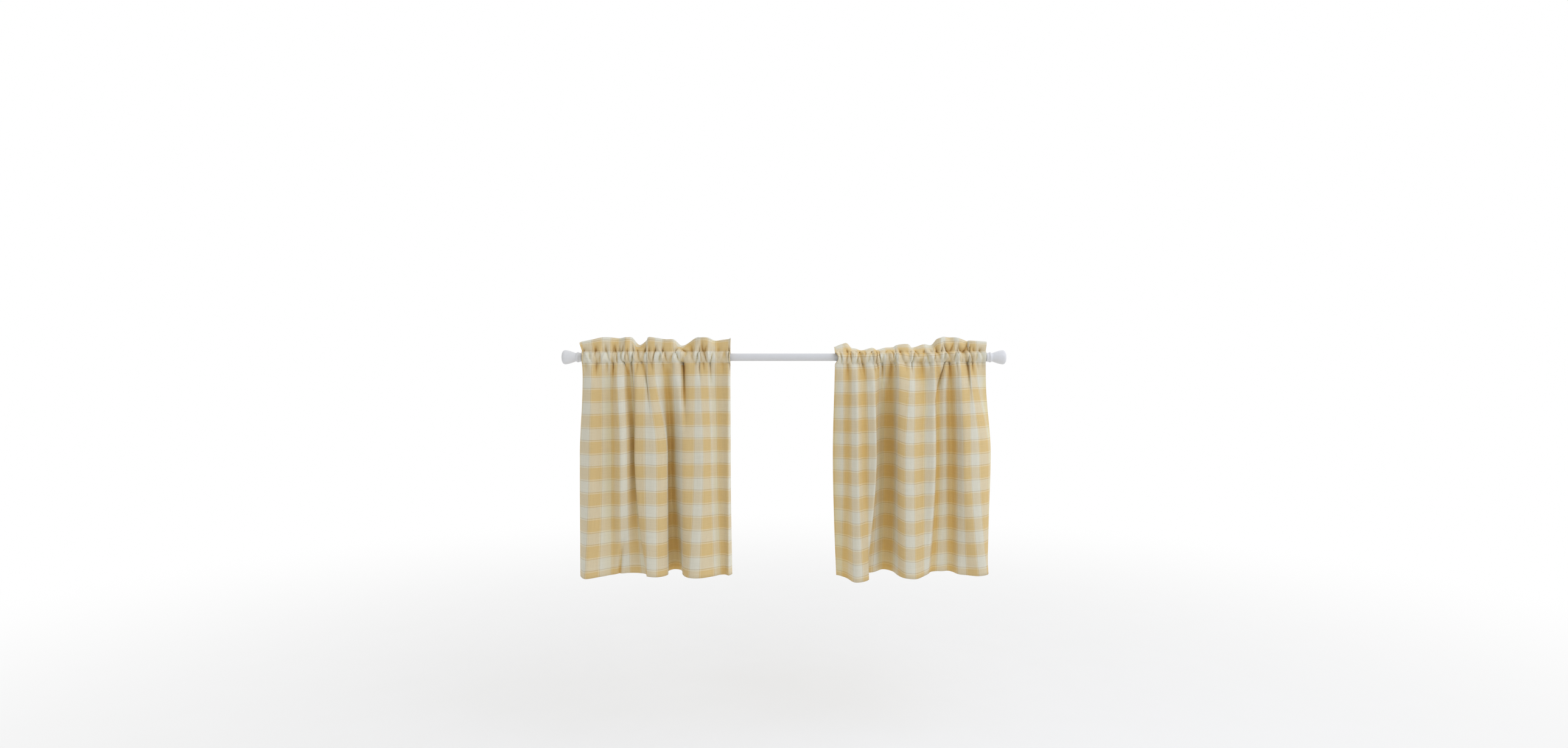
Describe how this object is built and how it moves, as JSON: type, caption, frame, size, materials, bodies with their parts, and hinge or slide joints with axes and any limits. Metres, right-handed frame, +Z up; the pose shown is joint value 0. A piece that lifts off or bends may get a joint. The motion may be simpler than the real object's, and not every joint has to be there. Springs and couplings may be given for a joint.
{
  "type": "tier curtain pair on a curtain rod",
  "caption": "Short gathered window curtains in a woven check, with ruffled headers and rod pockets, hung side by side on a round rod with trumpet-shaped finials.",
  "frame": {"origin": "middle of the rod's axis", "axes": "+X along the rod, to the right as seen from the front; +Y away from the viewer, towards the window; +Z up"},
  "size_m": [1.121, 0.1063, 0.6157],
  "materials": {
    "cloth": "soft woven cotton, amber and white check",
    "rod_paint": "satin white",
    "finial_white": "satin white"
  },
  "bodies": {
    "root": {"panel_left": "cloth", "panel_right": "cloth", "rod": "rod_paint", "finial_left": "finial_white", "finial_right": "finial_white"}
  },
  "joints": []
}
